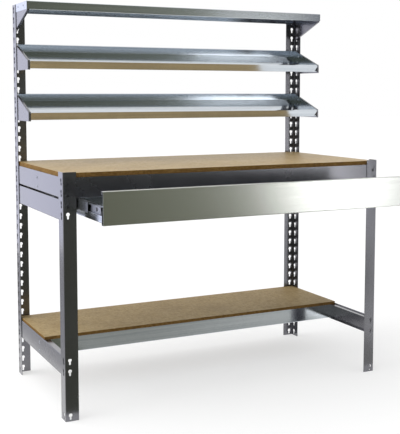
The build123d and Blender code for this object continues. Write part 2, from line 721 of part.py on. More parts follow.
CAGE_OUTER_X = SLIDE_SHEET + RUN_GAP
MIDDLE_X = CAGE_OUTER_X + CAGE_SHEET + RUN_GAP
CAGE_INNER_X = MIDDLE_X + SLIDE_SHEET + RUN_GAP
INNER_X = CAGE_INNER_X + CAGE_SHEET + RUN_GAP


def slide_outer():
    shape = slide_member(0, SLIDE_FLANGE, SLIDE_HALF, True)
    return drill(shape, rail_rivet_columns(), (-1, 0, 0), SMALL_SHANK)


def slide_middle():
    return slide_member(MIDDLE_X, SLIDE_FLANGE + FIT_GAP, SLIDE_MIDDLE_HALF, True)


def slide_inner():
    shape = slide_member(INNER_X, SLIDE_WIDTH, SLIDE_INNER_HALF, False)
    spots = [(SLIDE_WIDTH - SLIDE_X, y, SLIDE_Z) for y in slide_rivet_columns()]
    return drill(shape, spots, (1, 0, 0), SMALL_SHANK)


def ball_cage(start, member_half):
    """Cage with its balls, above and below a member of the given half height."""
    row = member_half + BALL_ROOM / 2
    x0 = start - SLIDE_X
    x1 = x0 + CAGE_WIDTH
    length = BALL_PITCH * (BALL_COUNT - 1) + 2 * CAGE_MARGIN
    y0 = SLIDE_START + (SLIDE_LENGTH - length) / 2
    high, low = SLIDE_Z + row + CAGE_SHEET / 2, SLIDE_Z - row - CAGE_SHEET / 2
    points = [(x1, high), (x0, high), (x0, low), (x1, low)]
    shape = along_y(folded(points, CAGE_SHEET, [0, 0]), y0, y0 + length)
    ball_x = (x0 + CAGE_SHEET + x1) / 2
    rows = [y0 + CAGE_MARGIN + BALL_PITCH * index for index in range(BALL_COUNT)]
    spots = [(ball_x, y, SLIDE_Z + side * row) for y in rows for side in (-1, 1)]
    pockets = [Pos(*spot) * Cylinder(BALL / 2 + FIT_GAP, BALL) for spot in spots]
    balls = [Pos(*spot) * Sphere(BALL / 2) for spot in spots]
    return [shape - pockets] + balls


def slide_rivets():
    length = RAIL_SHEET + FIT_GAP + SLIDE_SHEET
    return [small_rivet(place, (-1, 0, 0), length) for place in rail_rivet_columns()]


def inner_member_rivets():
    """Rivets that hold the inner members to the drawer's sides, on both sides."""
    x = DRAWER_SIDE_X - DRAWER_SHEET
    length = DRAWER_SHEET + FIT_GAP + SLIDE_SHEET
    pins = [small_rivet((-x, y, SLIDE_Z), (1, 0, 0), length) for y in slide_rivet_columns()]
    return pins + [to_right(pin) for pin in pins]


# Nodes
def left_and_right(nodes, name, shapes):
    """Add a left node and its mirror image on the right."""
    shapes = shapes if isinstance(shapes, list) else [shapes]
    nodes[name + "_left"] = shapes
    nodes[name + "_right"] = [to_right(shape) for shape in shapes]


def frame_nodes(nodes):
    left_and_right(nodes, "front_upright", upright(FRONT_HEIGHT, front_holes()))
    rear_holes = range(LAST_REAR_HOLE + 1)
    left_and_right(nodes, "rear_upright", to_rear(upright(TOP_PAN_UNDER, rear_holes)))
    left_and_right(nodes, "top_side_beam", tied_side_beam(TOP_BEAM_HOLE))
    left_and_right(nodes, "drawer_side_beam", side_beam(DRAWER_BEAM_HOLE))
    left_and_right(nodes, "lower_side_beam", tied_side_beam(LOWER_BEAM_HOLE))
    nodes["top_front_beam"] = [cross_beam(TOP_BEAM_HOLE)]
    nodes["top_rear_beam"] = [to_rear(cross_beam(TOP_BEAM_HOLE))]
    nodes["lower_rear_beam"] = [to_rear(cross_beam(LOWER_BEAM_HOLE))]
    nodes["worktop_tie"] = [tie(TOP_BEAM_Z)]
    nodes["lower_shelf_tie"] = [tie(LOWER_BEAM_Z)]
    left_and_right(nodes, "front_upright_rivets", front_upright_rivets())
    left_and_right(nodes, "rear_upright_rivets", rear_upright_rivets())
    left_and_right(nodes, "tie_rivets", tie_rivets())
    edge = UPRIGHT_SHEET + HEM_DEPTH + BOARD_GAP
    nodes["worktop_board"] = [board(WORKTOP_Z, WORKTOP_THICKNESS, edge)]
    nodes["lower_shelf_board"] = [board(SHELF_Z, SHELF_THICKNESS, TIE_FRONT - SHELF_OVERHANG)]


def rack_nodes(nodes):
    nodes["top_pan"] = [top_pan()]
    left_and_right(nodes, "top_bracket", top_bracket())
    for name, index in (("middle", MIDDLE_TRAY_HOLE), ("bottom", BOTTOM_TRAY_HOLE)):
        nodes[name + "_tray"] = [tray(seat_z(index) - BRACKET_BELOW_RIVET)]
        left_and_right(nodes, name + "_bracket", tray_bracket(index))
    left_and_right(nodes, "bracket_rivets", bracket_rivets())
    left_and_right(nodes, "pan_screws", pan_screws())


def slide_nodes(nodes):
    left_and_right(nodes, "slide_rail", slide_rail())
    left_and_right(nodes, "slide_rivets", slide_rivets())
    left_and_right(nodes, "slide_outer", slide_outer())
    left_and_right(nodes, "slide_middle", opened(slide_middle(), SLIDE_MIDDLE_SHARE))
    left_and_right(nodes, "slide_inner", opened(slide_inner()))
    outer_cage = ball_cage(CAGE_OUTER_X, SLIDE_MIDDLE_HALF)
    inner_cage = ball_cage(CAGE_INNER_X, SLIDE_INNER_HALF)
    left_and_right(nodes, "outer_ball_cage", [opened(shape, OUTER_CAGE_SHARE) for shape in outer_cage])
    left_and_right(nodes, "inner_ball_cage", [opened(shape, INNER_CAGE_SHARE) for shape in inner_cage])


def drawer_nodes(nodes):
    nodes["drawer_front"] = [opened(drawer_front())]
    nodes["drawer_inner_front"] = [opened(drawer_inner_front())]
    left_and_right(nodes, "drawer_side", opened(drawer_side()))
    nodes["drawer_back"] = [opened(drawer_back())]
    nodes["drawer_bottom"] = [opened(drawer_bottom())]
    nodes["drawer_corner_angles"] = [opened(shape) for shape in drawer_corner_angles()]
    nodes["drawer_box_rivets"] = [opened(pin) for pin in drawer_box_rivets()]
    nodes["drawer_front_screws"] = [opened(pin) for pin in drawer_front_screws()]
    nodes["inner_member_rivets"] = [opened(pin) for pin in inner_member_rivets()]


def main():
    os.makedirs("parts", exist_ok=True)
    nodes = {}
    for add in (frame_nodes, rack_nodes, slide_nodes, drawer_nodes):
        add(nodes)
    for name, shapes in nodes.items():
        solids = [solid for shape in shapes for solid in shape.solids()]
        placed = [Pos(0, -ORIGIN_Y, 0) * solid for solid in solids]
        whole = placed[0] if len(placed) == 1 else Compound(children=placed)
        export_step(whole, "parts/" + name + ".step")
    print(len(nodes), "nodes, worktop at", WORKTOP_TOP, "origin y", ORIGIN_Y)


main()
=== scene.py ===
"""Studio scene of a steel workbench with a pulled-out drawer, a lower shelf and a rack of tilted trays."""
import json
import logging
import math
from dataclasses import dataclass
from enum import Enum
from functools import cache
from typing import ClassVar

import bmesh
import bpy
from bmesh.types import BMEdge, BMesh, BMFace, BMVert
from bpy.types import ID, Material, Mesh, Node, NodeOutputs, NodeSocket, NodeTree, Object
from mathutils import Matrix, Vector


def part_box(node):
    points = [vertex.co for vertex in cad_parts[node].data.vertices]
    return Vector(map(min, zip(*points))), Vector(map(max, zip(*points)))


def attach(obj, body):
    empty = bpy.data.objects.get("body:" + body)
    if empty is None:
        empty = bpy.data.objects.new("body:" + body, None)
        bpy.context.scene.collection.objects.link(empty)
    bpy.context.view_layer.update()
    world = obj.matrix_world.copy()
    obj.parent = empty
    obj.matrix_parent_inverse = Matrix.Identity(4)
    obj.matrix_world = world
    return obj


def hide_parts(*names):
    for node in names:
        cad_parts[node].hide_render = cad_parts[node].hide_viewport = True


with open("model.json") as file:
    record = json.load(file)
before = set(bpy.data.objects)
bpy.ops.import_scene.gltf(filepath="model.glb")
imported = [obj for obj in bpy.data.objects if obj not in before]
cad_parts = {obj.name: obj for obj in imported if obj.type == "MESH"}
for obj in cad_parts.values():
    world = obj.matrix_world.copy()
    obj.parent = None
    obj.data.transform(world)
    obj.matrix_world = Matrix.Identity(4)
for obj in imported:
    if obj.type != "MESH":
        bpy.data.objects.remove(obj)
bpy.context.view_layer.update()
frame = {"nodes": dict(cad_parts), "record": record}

SLOT_OF = {part["node"]: part["material_slot"] for part in frame["record"]["subparts"]}
log = logging.getLogger("workbench")

Point = tuple[float, float]
Corner = tuple[float, float, float]
MM = 0.001
# Corners nearer than this are one
SAME_POINT = 0.00002
SHARP_ANGLE = math.radians(32)
# Weighted Normal's setting at which only the largest faces count
LARGEST_FACES = 100
ROUND = {"profile": 0.5, "affect": "EDGES"}
WHITE = (1.0, 1.0, 1.0, 1.0)
NOISE = "ShaderNodeTexNoise"
MAP_RANGE = "ShaderNodeMapRange"
# Numbers of the Mix node's colour sockets
MIX_COLOR_A, MIX_COLOR_B, MIX_COLOR_RESULT = 6, 7, 2
# Most of a noise lies between these values; patches leave out its lowest part
SPREAD = (0.3, 0.7)
PATCHES = (0.35, 0.7)
# Keyholes that the uprights have, numbered from the floor
FRONT_HOLES = (0, 4, 5, 18, 19, 20, 21)
REAR_HOLES = tuple(range(38))


class Side(Enum):
    """Which half of the bench a mirrored piece stands on."""

    LEFT = -1
    RIGHT = 1

    def of(self, name: str) -> str:
        """Name of this side's piece."""
        return f"{name}_{self.name.lower()}"


class Row(Enum):
    """Whether an upright stands at the front or at the rear."""

    FRONT = -1
    REAR = 1


class Rolled(Enum):
    """Direction in which a sheet was rolled, along which its streaks run."""

    ACROSS = (1, 0, 0)
    DEEP = (0, 1, 0)


# Node helpers
def linear(code: str) -> tuple[float, float, float, float]:
    """Turn an sRGB hex colour into linear values.

    Args:
        code: Colour such as "#a08060".

    Returns:
        Linear red, green, blue and an alpha of one.
    """
    parts = [int(code[place:place + 2], 16) / 255 for place in (1, 3, 5)]
    values = [p / 12.92 if p <= 0.04045 else ((p + 0.055) / 1.055) ** 2.4 for p in parts]
    return (*values, 1.0)


def connect(tree: NodeTree, node: Node, inputs: dict | tuple) -> None:
    """Set or link inputs of a node.

    Args:
        tree: The node's tree.
        node: The node.
        inputs: Values, sockets or nodes by input name or number, or in the inputs' order. A node stands for
            its first output.
    """
    for name, value in inputs.items() if isinstance(inputs, dict) else enumerate(inputs):
        if isinstance(value, Node):
            value = value.outputs[0]
        if isinstance(value, NodeSocket):
            tree.links.new(value, node.inputs[name])
        else:
            node.inputs[name].default_value = value


def add_node(tree: NodeTree, kind: str, inputs: dict | tuple = (), **settings: object) -> Node:
    """Add a node with its settings and links.

    Args:
        tree: Shader or geometry tree that gets the node.
        kind: Blender's name of the node type.
        inputs: Its inputs, as connect takes them.
        **settings: Attributes of the node.

    Returns:
        The new node.
    """
    node = tree.nodes.new(kind)
    for name, value in settings.items():
        setattr(node, name, value)
    connect(tree, node, inputs)
    return node


def scaled(tree: NodeTree, grain: float | Corner, turn: float = 0.0) -> dict[str, object]:
    """Give a pattern its real size on the object's own coordinates.

    Args:
        tree: Shader tree that gets the nodes.
        grain: Real size of one grain in metres, the same all ways or along X, Y and Z.
        turn: Angle of the pattern about Z, in radians.

    Returns:
        The pattern node's inputs for it.
    """
    lengths = grain if isinstance(grain, tuple) else (grain,) * 3
    place = add_node(tree, "ShaderNodeTexCoord").outputs["Object"]
    turned = add_node(tree, "ShaderNodeMapping", {"Vector": place, "Rotation": (0, 0, turn)})
    grains = add_node(tree, "ShaderNodeMapping", {"Vector": turned, "Scale": [1 / length for length in lengths]})
    return {"Vector": grains, "Scale": 1.0}


def painted(tree: NodeTree, ground: str, *layers: tuple) -> NodeSocket:
    """Lay tones over a ground colour, each as far as its pattern lets it show.

    Args:
        tree: Shader tree that gets the nodes.
        ground: Hex colour of the ground.
        *layers: A pattern, its tone's hex colour, and the range that turns the pattern into the tone's share:
            from low, from high, to low and to high, or fewer where the rest is 0 to 1.

    Returns:
        Socket with the colour.
    """
    color = linear(ground)
    for pattern, tone, *span in layers:
        share = add_node(tree, MAP_RANGE, (pattern, *span))
        inputs = {0: share, MIX_COLOR_A: color, MIX_COLOR_B: linear(tone)}
        color = add_node(tree, "ShaderNodeMix", inputs, data_type="RGBA").outputs[MIX_COLOR_RESULT]
    return color


def new_material(name: str, kind: str = "ShaderNodeBsdfPrincipled") -> tuple[Material, NodeTree, Node]:
    """Make a material with one shader.

    Args:
        name: The finish's name.
        kind: Blender's name of the shader's node type.

    Returns:
        The material, its tree and the shader, whose inputs are still to be set.
    """
    material = bpy.data.materials.new(name)
    material.use_nodes = True
    tree = material.node_tree
    tree.nodes.clear()
    shader = add_node(tree, kind)
    add_node(tree, "ShaderNodeOutputMaterial", {"Surface": shader})
    return material, tree, shader


# Finishes
@dataclass(frozen=True)
class PowderCoat:
    """Grey polyester powder with metal flake, sprayed and baked on sheet steel.

    The flake mirrors softly, so a face is dark or pale as the room that it faces, under a clear gloss.
    """

    name: str = "grey_metal_flake_powder_coat"
    body: str = "#75757b"
    dust: str = "#7f7f84"
    metallic: float = 0.92
    roughness: Point = (0.21, 0.29)
    coat: float = 0.5
    coat_roughness: float = 0.12
    cloud: float = 260 * MM
    # Orange peel is about 1.5 mm across; it is drawn wider so that it shows
    peel: float = 4 * MM
    peel_depth: float = 0.012 * MM

    def material(self) -> Material:
        """Build the material.

        Returns:
            A soft dark metal with a thin clear top layer.
        """
        material, tree, shader = new_material(self.name)
        cloud = add_node(tree, NOISE, {**scaled(tree, self.cloud), "Detail": 5.0, "Roughness": 0.6})
        peel = add_node(tree, NOISE, {**scaled(tree, self.peel), "Detail": 2.0})
        connect(tree, shader, {
            "Base Color": painted(tree, self.body, (cloud, self.dust, *PATCHES)),
            "Metallic": self.metallic,
            "Roughness": add_node(tree, MAP_RANGE, (cloud, *SPREAD, *self.roughness)),
            "Normal": add_node(tree, "ShaderNodeBump", {"Height": peel, "Distance": self.peel_depth, "Strength": 0.4}),
            "Coat Weight": self.coat,
            "Coat Roughness": self.coat_roughness,
        })
        return material


@dataclass(frozen=True)
class GalvanisedSheet:
    """Cold-rolled sheet steel, hot-dip galvanised and skin-passed.

    It mirrors its surroundings softly, in streaks along the rolling direction, over a faint spangle.
    """

    name: str = "galvanised_sheet"
    rolled: Rolled = Rolled.ACROSS
    bright: str = "#d3d9df"
    dull: str = "#c2c9d0"
    roughness: Point = (0.10, 0.17)
    streak_length: float = 700 * MM
    # Rolling lines are under 1 mm apart; they are drawn wider so that they show
    streak_width: float = 9 * MM
    streak_depth: float = 0.01 * MM
    spangle: float = 11 * MM
    spangle_share: float = 0.09

    def material(self) -> Material:
        """Build the material.

        Returns:
            A metal with streaks and spangle in its colour and roughness.
        """
        material, tree, shader = new_material(self.name)
        grain = tuple(self.streak_length if way else self.streak_width for way in self.rolled.value)
        streaks = add_node(tree, NOISE, {**scaled(tree, grain), "Detail": 3.0})
        crystals = add_node(tree, "ShaderNodeTexVoronoi", scaled(tree, self.spangle))
        facet = add_node(tree, "ShaderNodeSeparateColor", (crystals.outputs["Color"],))
        worn = add_node(tree, "ShaderNodeMath", (
            add_node(tree, MAP_RANGE, (streaks, *SPREAD)),
            add_node(tree, MAP_RANGE, (facet, 0.0, 1.0, -self.spangle_share, self.spangle_share)),
        ), operation="ADD", use_clamp=True)
        relief = {"Height": streaks, "Distance": self.streak_depth, "Strength": 0.3}
        connect(tree, shader, {
            "Base Color": painted(tree, self.bright, (worn, self.dull)),
            "Metallic": 1.0,
            "Roughness": add_node(tree, MAP_RANGE, (worn, 0.0, 1.0, *self.roughness)),
            "Normal": add_node(tree, "ShaderNodeBump", relief),
        })
        return material


@dataclass(frozen=True)
class ZincPlate:
    """Bright zinc plating on small pressed or turned steel, evenly grey with a satin shine."""

    name: str = "bright_zinc_plate"
    bright: str = "#d3d6da"
    dull: str = "#9ca1a8"
    roughness: Point = (0.22, 0.35)
    mottle: float = 9 * MM

    def material(self) -> Material:
        """Build the material.

        Returns:
            A satin metal with a faint mottle.
        """
        material, tree, shader = new_material(self.name)
        mottle = add_node(tree, NOISE, {**scaled(tree, self.mottle), "Detail": 4.0})
        connect(tree, shader, {
            "Base Color": painted(tree, self.bright, (mottle, self.dull, *PATCHES)),
            "Metallic": 1.0,
            "Roughness": add_node(tree, MAP_RANGE, (mottle, *SPREAD, *self.roughness)),
        })
        return material


@dataclass(frozen=True)
class Chipboard:
    """Pressed wood chips in resin, sanded flat and left raw.

    The face shows pale and brown chips lying flat in many directions; a sawn edge shows them end on, with pores.
    """

    name: str = "sanded_chipboard"
    pale: str = "#b59a66"
    warm: str = "#a38a56"
    brown: str = "#8a6d40"
    speck: str = "#6a5230"
    # Face chips are 1 to 2 mm wide; they are drawn wider so that they show
    chip_width: float = 3.5 * MM
    chip_length: float = 11 * MM
    chip_depth: float = 0.2 * MM
    speck_gap: float = 2.8 * MM
    chip_turns: Corner = (0.15, 1.45, 0.85)
    cloud: float = 170 * MM
    pores: float = 0.3
    roughness: Point = (0.39, 0.55)
    # Sanding dust and resin give the face some shine where it is seen flat on
    sheen: float = 1.0

    def chips(self, tree: NodeTree, turn: float) -> Node:
        """One layer of chips that lie roughly one way.

        Args:
            tree: Shader tree that gets the nodes.
            turn: Direction of the chips about Z, in radians.

        Returns:
            Node with each chip's random value, from 0 to 1.
        """
        grain = (self.chip_length, self.chip_width, self.chip_width)
        cells = add_node(tree, "ShaderNodeTexVoronoi", scaled(tree, grain, turn))
        return add_node(tree, "ShaderNodeSeparateColor", (cells.outputs["Color"],))

    def material(self) -> Material:
        """Build the material.

        Returns:
            A matt wood surface of three chip layers, specks and pores.
        """
        material, tree, shader = new_material(self.name)
        cloud = add_node(tree, NOISE, {**scaled(tree, self.cloud), "Detail": 4.0})
        along, across, slanted = (self.chips(tree, turn) for turn in self.chip_turns)
        speck = add_node(tree, "ShaderNodeTexVoronoi", scaled(tree, self.speck_gap))
        relief = {"Height": across, "Distance": self.chip_depth, "Strength": 0.3}
        connect(tree, shader, {
            "Base Color": painted(
                tree, self.pale, (along, self.warm, 0.2, 0.9), (across, self.brown, 0.62, 0.95, 0.0, 0.55),
                (slanted, self.pale, 0.75, 0.95, 0.0, 0.7), (cloud, self.brown, 0.38, 0.68, 0.0, 0.35),
                (speck, self.speck, 0.0, 0.22, self.pores, 0.0),
            ),
            "Roughness": add_node(tree, MAP_RANGE, (along, 0.0, 1.0, *self.roughness)),
            "Normal": add_node(tree, "ShaderNodeBump", relief),
            "Specular IOR Level": self.sheen,
        })
        return material


@dataclass(frozen=True)
class BlackPlasticForGapShade:
    """Injection-moulded black polypropylene, with a dull sheen and a faint flow pattern; on the slides its black is
    partly painted shade of their gaps.
    """

    name: str = "moulded_black_polypropylene"
    body: str = "#17181a"
    sheen: str = "#232427"
    flow: float = 6 * MM
    roughness: Point = (0.42, 0.55)

    def material(self) -> Material:
        """Build the material.

        Returns:
            A dull black plastic.
        """
        material, tree, shader = new_material(self.name)
        flow = add_node(tree, NOISE, {**scaled(tree, self.flow), "Detail": 3.0})
        connect(tree, shader, {
            "Base Color": painted(tree, self.body, (flow, self.sheen)),
            "Roughness": add_node(tree, MAP_RANGE, (flow, *SPREAD, *self.roughness)),
            "IOR": 1.49,
        })
        return material


class Finishes:
    """All finishes of the bench, each made once."""

    def __init__(self) -> None:
        """Build every material."""
        self.paint = PowderCoat().material()
        # The rivets' coat is darker than the frame's paint: painted shade of the keyholes that they sit in
        self.painted_rivet = PowderCoat("powder_coat_on_rivets", body="#3c3c42", dust="#4a4a50").material()
        self.sheet = GalvanisedSheet().material()
        self.deep_sheet = GalvanisedSheet("galvanised_sheet_rolled_deep", rolled=Rolled.DEEP).material()
        self.drawer_sheet = GalvanisedSheet(
            "satin_galvanised_drawer_front", bright="#d6d8d4", dull="#d0d2ce", roughness=(0.21, 0.23),
        ).material()
        self.zinc = ZincPlate().material()
        self.slide = ZincPlate("zinc_plated_slide", bright="#c3c6cb", dull="#8f949b", roughness=(0.27, 0.40)).material()
        self.balls = ZincPlate(
            "polished_ball_steel", bright="#e2e4e8", dull="#b9bdc3", roughness=(0.11, 0.24),
        ).material()
        # Black plastic, which on the slides partly stands for the shade in their gaps: painted shade
        self.plastic = BlackPlasticForGapShade().material()
        self.face = Chipboard().material()
        self.edge = Chipboard(
            "sawn_chipboard_edge", pale="#8e6e3b", warm="#76572c", brown="#5a411d", speck="#35240e",
            chip_length=7 * MM, pores=0.8, roughness=(0.74, 0.90), sheen=0.2,
        ).material()
        self.shelf_face = Chipboard(
            "sanded_chipboard_shelf", pale="#b39b6e", warm="#9f885b", brown="#846d44", speck="#5d4728",
            roughness=(0.54, 0.70), sheen=0.5,
        ).material()


# Mesh helpers
def new_object(name: str, data: ID) -> Object:
    """Put a mesh, lamp or camera in the scene as an object at the origin.

    Args:
        name: The object's name.
        data: Its mesh, lamp or camera.

    Returns:
        The new object.
    """
    made = bpy.data.objects.new(name, data)
    bpy.context.scene.collection.objects.link(made)
    return made


def evaluated(carrier: Object) -> Mesh:
    """Apply an object's modifiers and remove it.

    Args:
        carrier: The object.

    Returns:
        Its mesh with the modifiers applied.
    """
    graph = bpy.context.evaluated_depsgraph_get()
    mesh = bpy.data.meshes.new_from_object(carrier.evaluated_get(graph))
    carrier.modifiers.clear()
    bpy.data.objects.remove(carrier)
    return mesh


def as_mesh(shape: BMesh, name: str) -> Mesh:
    """Turn a shape into a mesh.

    Args:
        shape: The shape, which is used up.
        name: Name of the mesh.

    Returns:
        The mesh.
    """
    mesh = bpy.data.meshes.new(name)
    shape.to_mesh(mesh)
    shape.free()
    return mesh


def finish_mesh(shape: BMesh, name: str, *materials: Material) -> Mesh:
    """Weld a shape, turn its faces outwards and shade its round parts smooth beside flat ones.

    Args:
        shape: The shape, which is used up.
        name: Name of the mesh.
        *materials: Its finishes in the order of the faces' material numbers.

    Returns:
        The finished mesh.
    """
    bmesh.ops.remove_doubles(shape, verts=shape.verts, dist=SAME_POINT)
    bmesh.ops.recalc_face_normals(shape, faces=shape.faces)
    mesh = as_mesh(shape, name)
    for material in materials:
        mesh.materials.append(material)
    mesh.shade_smooth()
    mesh.set_sharp_from_angle(angle=SHARP_ANGLE)
    carrier = new_object(name + "_shading", mesh)
    weights = carrier.modifiers.new("flat faces first", "WEIGHTED_NORMAL")
    weights.weight = LARGEST_FACES
    weights.keep_sharp = True
    return evaluated(carrier)


def grown_mesh(tree: NodeTree, seed: Mesh, values: dict) -> Mesh:
    """Run a geometry tree on a seed mesh and keep the result as a plain mesh.

    Args:
        tree: Geometry tree whose inputs have names.
        seed: Mesh whose points the tree works on.
        values: Value of each named input.

    Returns:
        The resulting mesh.
    """
    carrier = new_object(seed.name + "_seed", seed)
    modifier = carrier.modifiers.new(tree.name, "NODES")
    modifier.node_group = tree
    for socket in tree.interface.items_tree:
        if socket.in_out == "INPUT" and socket.name in values:
            modifier[socket.identifier] = values[socket.name]
    return evaluated(carrier)


def geometry_tree(name: str, inputs: dict[str, str]) -> tuple[NodeTree, NodeOutputs]:
    """Start a geometry tree with named inputs.

    Args:
        name: Name of the tree.
        inputs: Kind of each input by its name.

    Returns:
        The tree and the sockets of its inputs.
    """
    tree = bpy.data.node_groups.new(name, "GeometryNodeTree")
    for way in ("INPUT", "OUTPUT"):
        tree.interface.new_socket("Geometry", in_out=way, socket_type="NodeSocketGeometry")
    for label, kind in inputs.items():
        tree.interface.new_socket(label, in_out="INPUT", socket_type="NodeSocket" + kind)
    return tree, add_node(tree, "NodeGroupInput").outputs


def welded_copy(node: str) -> BMesh:
    """Copy a CAD node's mesh and join its loose triangles.

    Args:
        node: The node's name.

    Returns:
        The welded shape.
    """
    shape = bmesh.new()
    shape.from_mesh(frame["nodes"][node].data)
    bmesh.ops.remove_doubles(shape, verts=shape.verts, dist=SAME_POINT)
    return shape


def solids_of(node: str) -> list[list[Vector]]:
    """Points of each separate solid in a CAD node.

    Args:
        node: The node's name.

    Returns:
        One list of points for each solid.
    """
    shape = welded_copy(node)
    waiting = dict.fromkeys(shape.verts)
    groups = []
    while waiting:
        reached = [waiting.popitem()[0]]
        group = []
        while reached:
            vertex = reached.pop()
            group.append(vertex.co.copy())
            for edge in vertex.link_edges:
                other = edge.other_vert(vertex)
                if other in waiting:
                    del waiting[other]
                    reached.append(other)
        groups.append(group)
    shape.free()
    return groups


def add_block(shape: BMesh, low: Vector, high: Vector) -> None:
    """Add a block to a shape.

    Args:
        shape: Shape that gets the block.
        low: The block's lowest corner.
        high: Its highest corner.
    """
    made = bmesh.ops.create_cube(shape, size=1)["verts"]
    bmesh.ops.scale(shape, vec=high - low, verts=made)
    bmesh.ops.translate(shape, vec=(low + high) / 2, verts=made)


def arc(middle: Point, radius: float, start: float, end: float, steps: int) -> list[Point]:
    """Points along an arc.

    Args:
        middle: Its centre.
        radius: Its radius.
        start: Angle of the first point, in radians.
        end: Angle of the last point.
        steps: Number of steps between them.

    Returns:
        The points.
    """
    turns = [start + (end - start) * step / steps for step in range(steps + 1)]
    return [(middle[0] + radius * math.cos(turn), middle[1] + radius * math.sin(turn)) for turn in turns]


def rectangle(left: float, right: float, low: float, high: float) -> list[Point]:
    """Corners of a rectangle between its sides."""
    return [(left, low), (right, low), (right, high), (left, high)]


def join_rings(shape: BMesh, ring: list[BMVert], following: list[BMVert]) -> None:
    """Close the band between two rings of corners.

    Args:
        shape: Shape that both belong to.
        ring: Corners of the first ring.
        following: As many corners of the next one.
    """
    for number, vertex in enumerate(ring):
        after = (number + 1) % len(ring)
        shape.faces.new((vertex, ring[after], following[after], following[number]))


@dataclass
class Piece:
    """Piece of the bench that takes the place of one CAD node."""

    work: ClassVar[str]

    node: str
    finish: Material
    body: str = "frame"

    def mesh(self) -> tuple[Mesh, str]:
        """Make the piece's mesh and a note on it for the log."""
        raise NotImplementedError

    def build(self) -> None:
        """Put the piece in its node's place and report it."""
        mesh, note = self.mesh()
        piece = new_object(f"{self.work}_{self.node}", mesh)
        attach(piece, self.body)
        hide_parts(self.node)
        log.info("%s: %s", piece.name, note)


# Rivets and screws
@dataclass
class HeadedPins(Piece):
    """Rivets or screws of one CAD node, each with a domed head."""

    work: ClassVar[str] = "domed"
    segments: ClassVar[int] = 20
    # Points nearer to the axis than this share of a head's radius are centres of a pin's ends
    centre_share: ClassVar[float] = 0.25

    @classmethod
    @cache
    def tree(cls) -> NodeTree:
        """Build the tree that puts a pin on each point.

        Returns:
            The geometry tree, shared by all pins.
        """
        tree, sizes = geometry_tree("domed_pins", {
            "Head radius": "Float", "Head height": "Float", "Shank radius": "Float", "Shank length": "Float",
            "Finish": "Material",
        })
        flat = add_node(tree, "ShaderNodeMath", (sizes["Head height"], sizes["Head radius"]), operation="DIVIDE")
        squeeze = add_node(tree, "ShaderNodeCombineXYZ", (1.0, 1.0, flat))
        ball = add_node(tree, "GeometryNodeMeshUVSphere", {
            "Segments": cls.segments, "Rings": cls.segments // 2, "Radius": sizes["Head radius"],
        })
        shank = add_node(tree, "GeometryNodeMeshCylinder", {
            "Vertices": cls.segments, "Radius": sizes["Shank radius"], "Depth": sizes["Shank length"],
        })
        drop = add_node(tree, "ShaderNodeMath", (sizes["Shank length"], -0.5), operation="MULTIPLY")
        down = add_node(tree, "ShaderNodeCombineXYZ", {"Z": drop})
        pin = add_node(tree, "GeometryNodeJoinGeometry")
        for solid, change in ((ball, {"Scale": squeeze}), (shank, {"Translation": down})):
            connect(tree, pin, (add_node(tree, "GeometryNodeTransform", {"Geometry": solid, **change}),))
        outward = add_node(tree, "GeometryNodeInputNamedAttribute", {"Name": "outward"}, data_type="FLOAT_VECTOR")
        turned = add_node(tree, "FunctionNodeAlignRotationToVector", {"Vector": outward}, axis="Z")
        placed = add_node(tree, "GeometryNodeInstanceOnPoints", {
            "Points": sizes["Geometry"], "Instance": pin, "Rotation": turned,
        })
        real = add_node(tree, "GeometryNodeRealizeInstances", {"Geometry": placed})
        smooth = add_node(tree, "GeometryNodeSetShadeSmooth", {"Geometry": real})
        dressed = add_node(tree, "GeometryNodeSetMaterial", {"Geometry": smooth, "Material": sizes["Finish"]})
        add_node(tree, "NodeGroupOutput", (dressed,))
        return tree

    def mesh(self) -> tuple[Mesh, str]:
        """Find each pin's place and size from its solid and grow a domed pin there.

        Returns:
            The mesh and the number of pins.
        """
        heads, outwards = [], []
        for points in solids_of(self.node):
            low, high = (Vector([pick(p[k] for p in points) for k in range(3)]) for pick in (min, max))
            size, middle = high - low, (low + high) / 2
            axis = min(range(3), key=lambda k: size[k])
            widths = [math.sqrt(sum((p[k] - middle[k]) ** 2 for k in range(3) if k != axis)) for p in points]
            radius = max(widths)
            rim = [p[axis] for p, width in zip(points, widths) if width > radius - SAME_POINT]
            sign = 1 if sum(rim) / len(rim) > middle[axis] else -1
            seat, top = (min(rim), high[axis]) if sign > 0 else (max(rim), low[axis])
            shank = min(width for width in widths if width > radius * self.centre_share)
            height = abs(top - seat)
            length = size[axis] - height
            middle[axis] = seat
            heads.append(middle)
            outwards += [sign if k == axis else 0 for k in range(3)]
        seed = bpy.data.meshes.new(self.node)
        seed.from_pydata(heads, [], [])
        seed.attributes.new("outward", "FLOAT_VECTOR", "POINT").data.foreach_set("vector", outwards)
        return grown_mesh(self.tree(), seed, {
            "Head radius": radius, "Head height": height, "Shank radius": shank, "Shank length": length,
            "Finish": self.finish,
        }), f"{len(heads)} pins"


